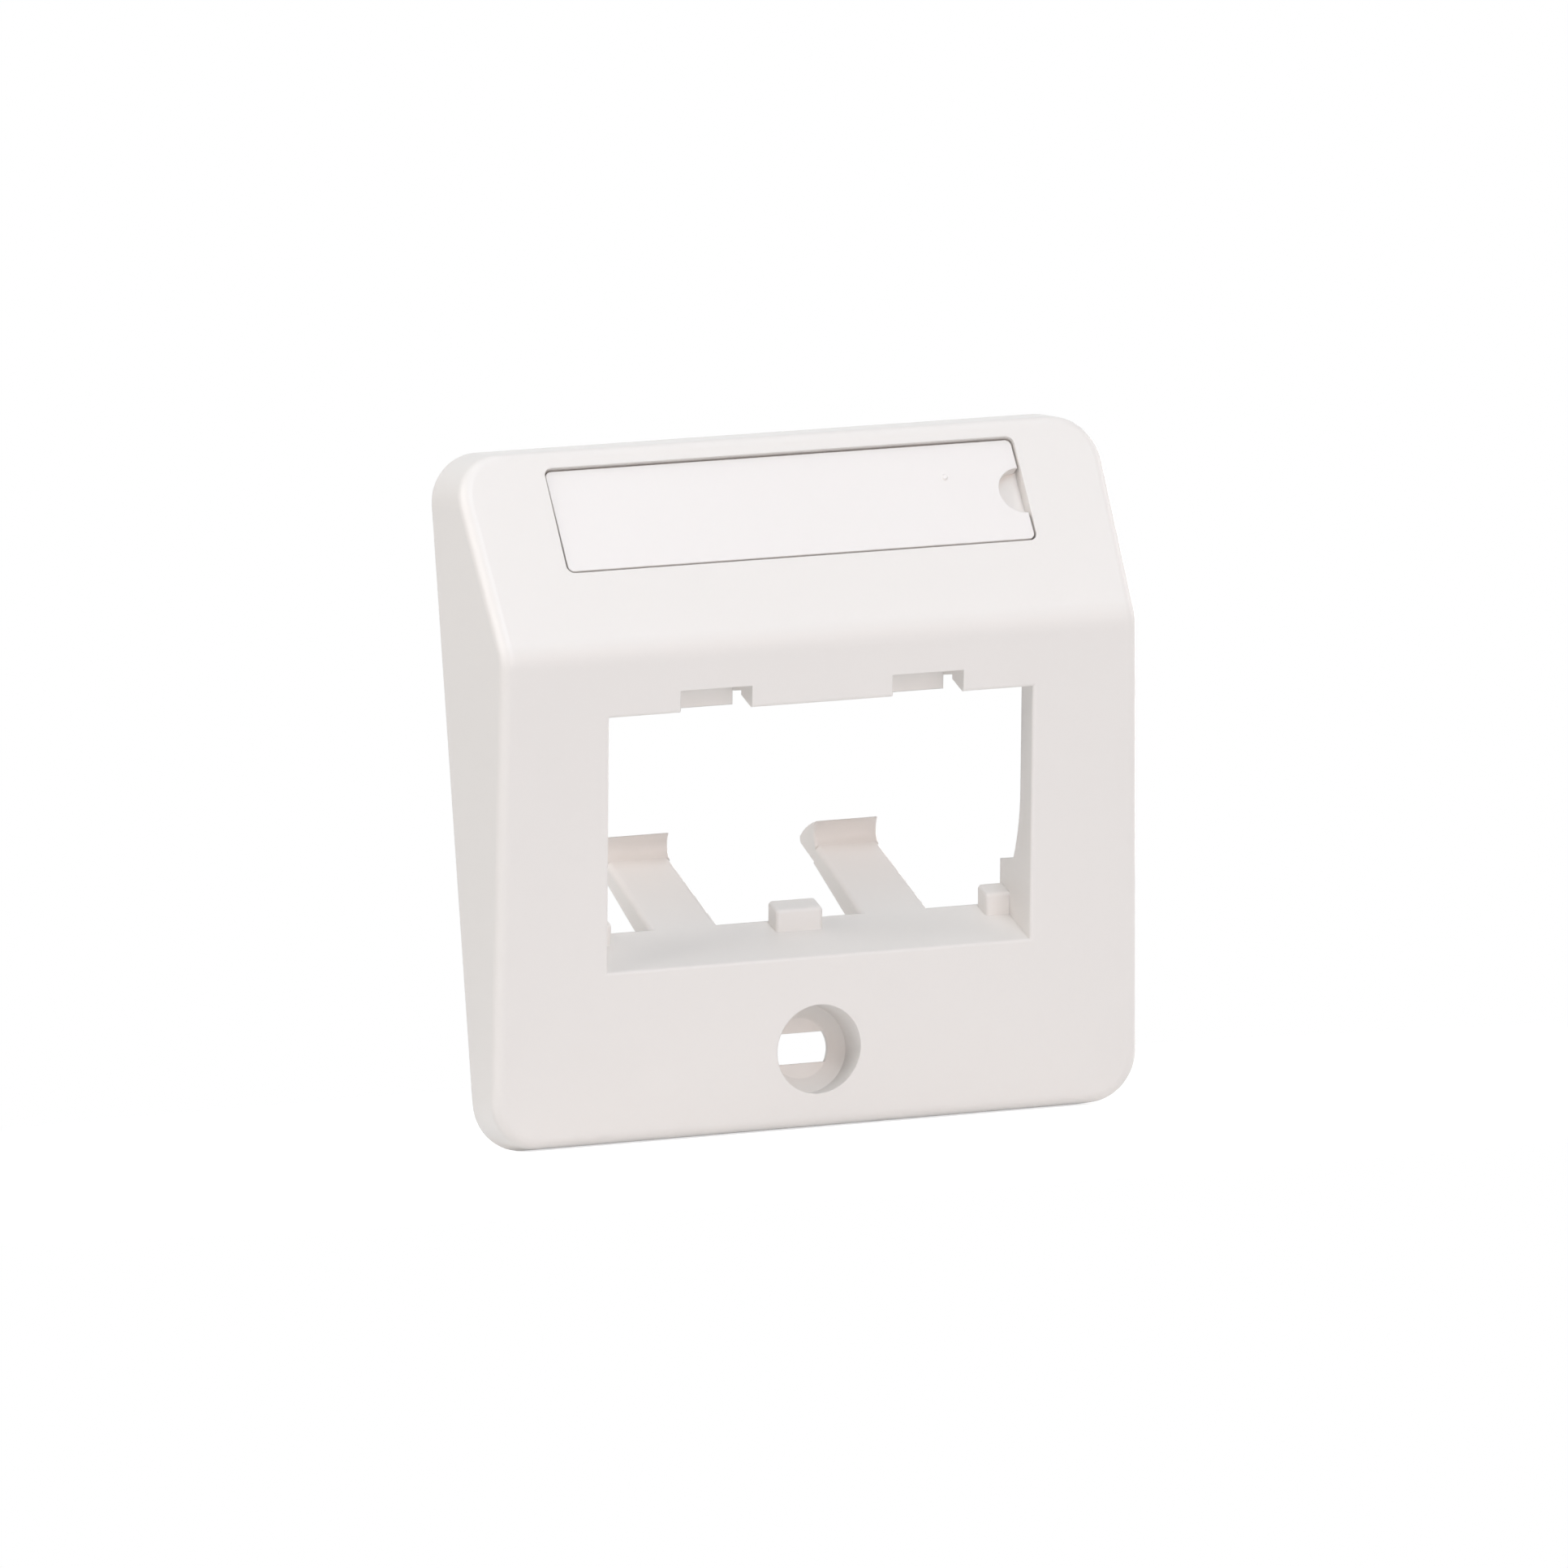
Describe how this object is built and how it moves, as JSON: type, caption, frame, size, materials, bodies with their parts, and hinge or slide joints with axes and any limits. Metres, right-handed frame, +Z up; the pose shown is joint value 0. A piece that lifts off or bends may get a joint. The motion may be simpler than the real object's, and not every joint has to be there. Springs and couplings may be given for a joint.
{
  "type": "keystone faceplate",
  "caption": "Square angled centre plate whose opening holds snap-in keystone jacks, with a screw hole and a label insert.",
  "frame": {"origin": "centre of the square rear rim, on the plane that lies against the wall or its support ring", "axes": "+X across, +Y into the wall, +Z up; the front faces -Y"},
  "size_m": [0.05, 0.0223, 0.05],
  "materials": {
    "plate_plastic": "satin warm-white moulded plastic",
    "insert_plastic": "satin white moulded plastic"
  },
  "bodies": {
    "root": {"faceplate": "plate_plastic", "label_insert": "insert_plastic"}
  },
  "joints": []
}
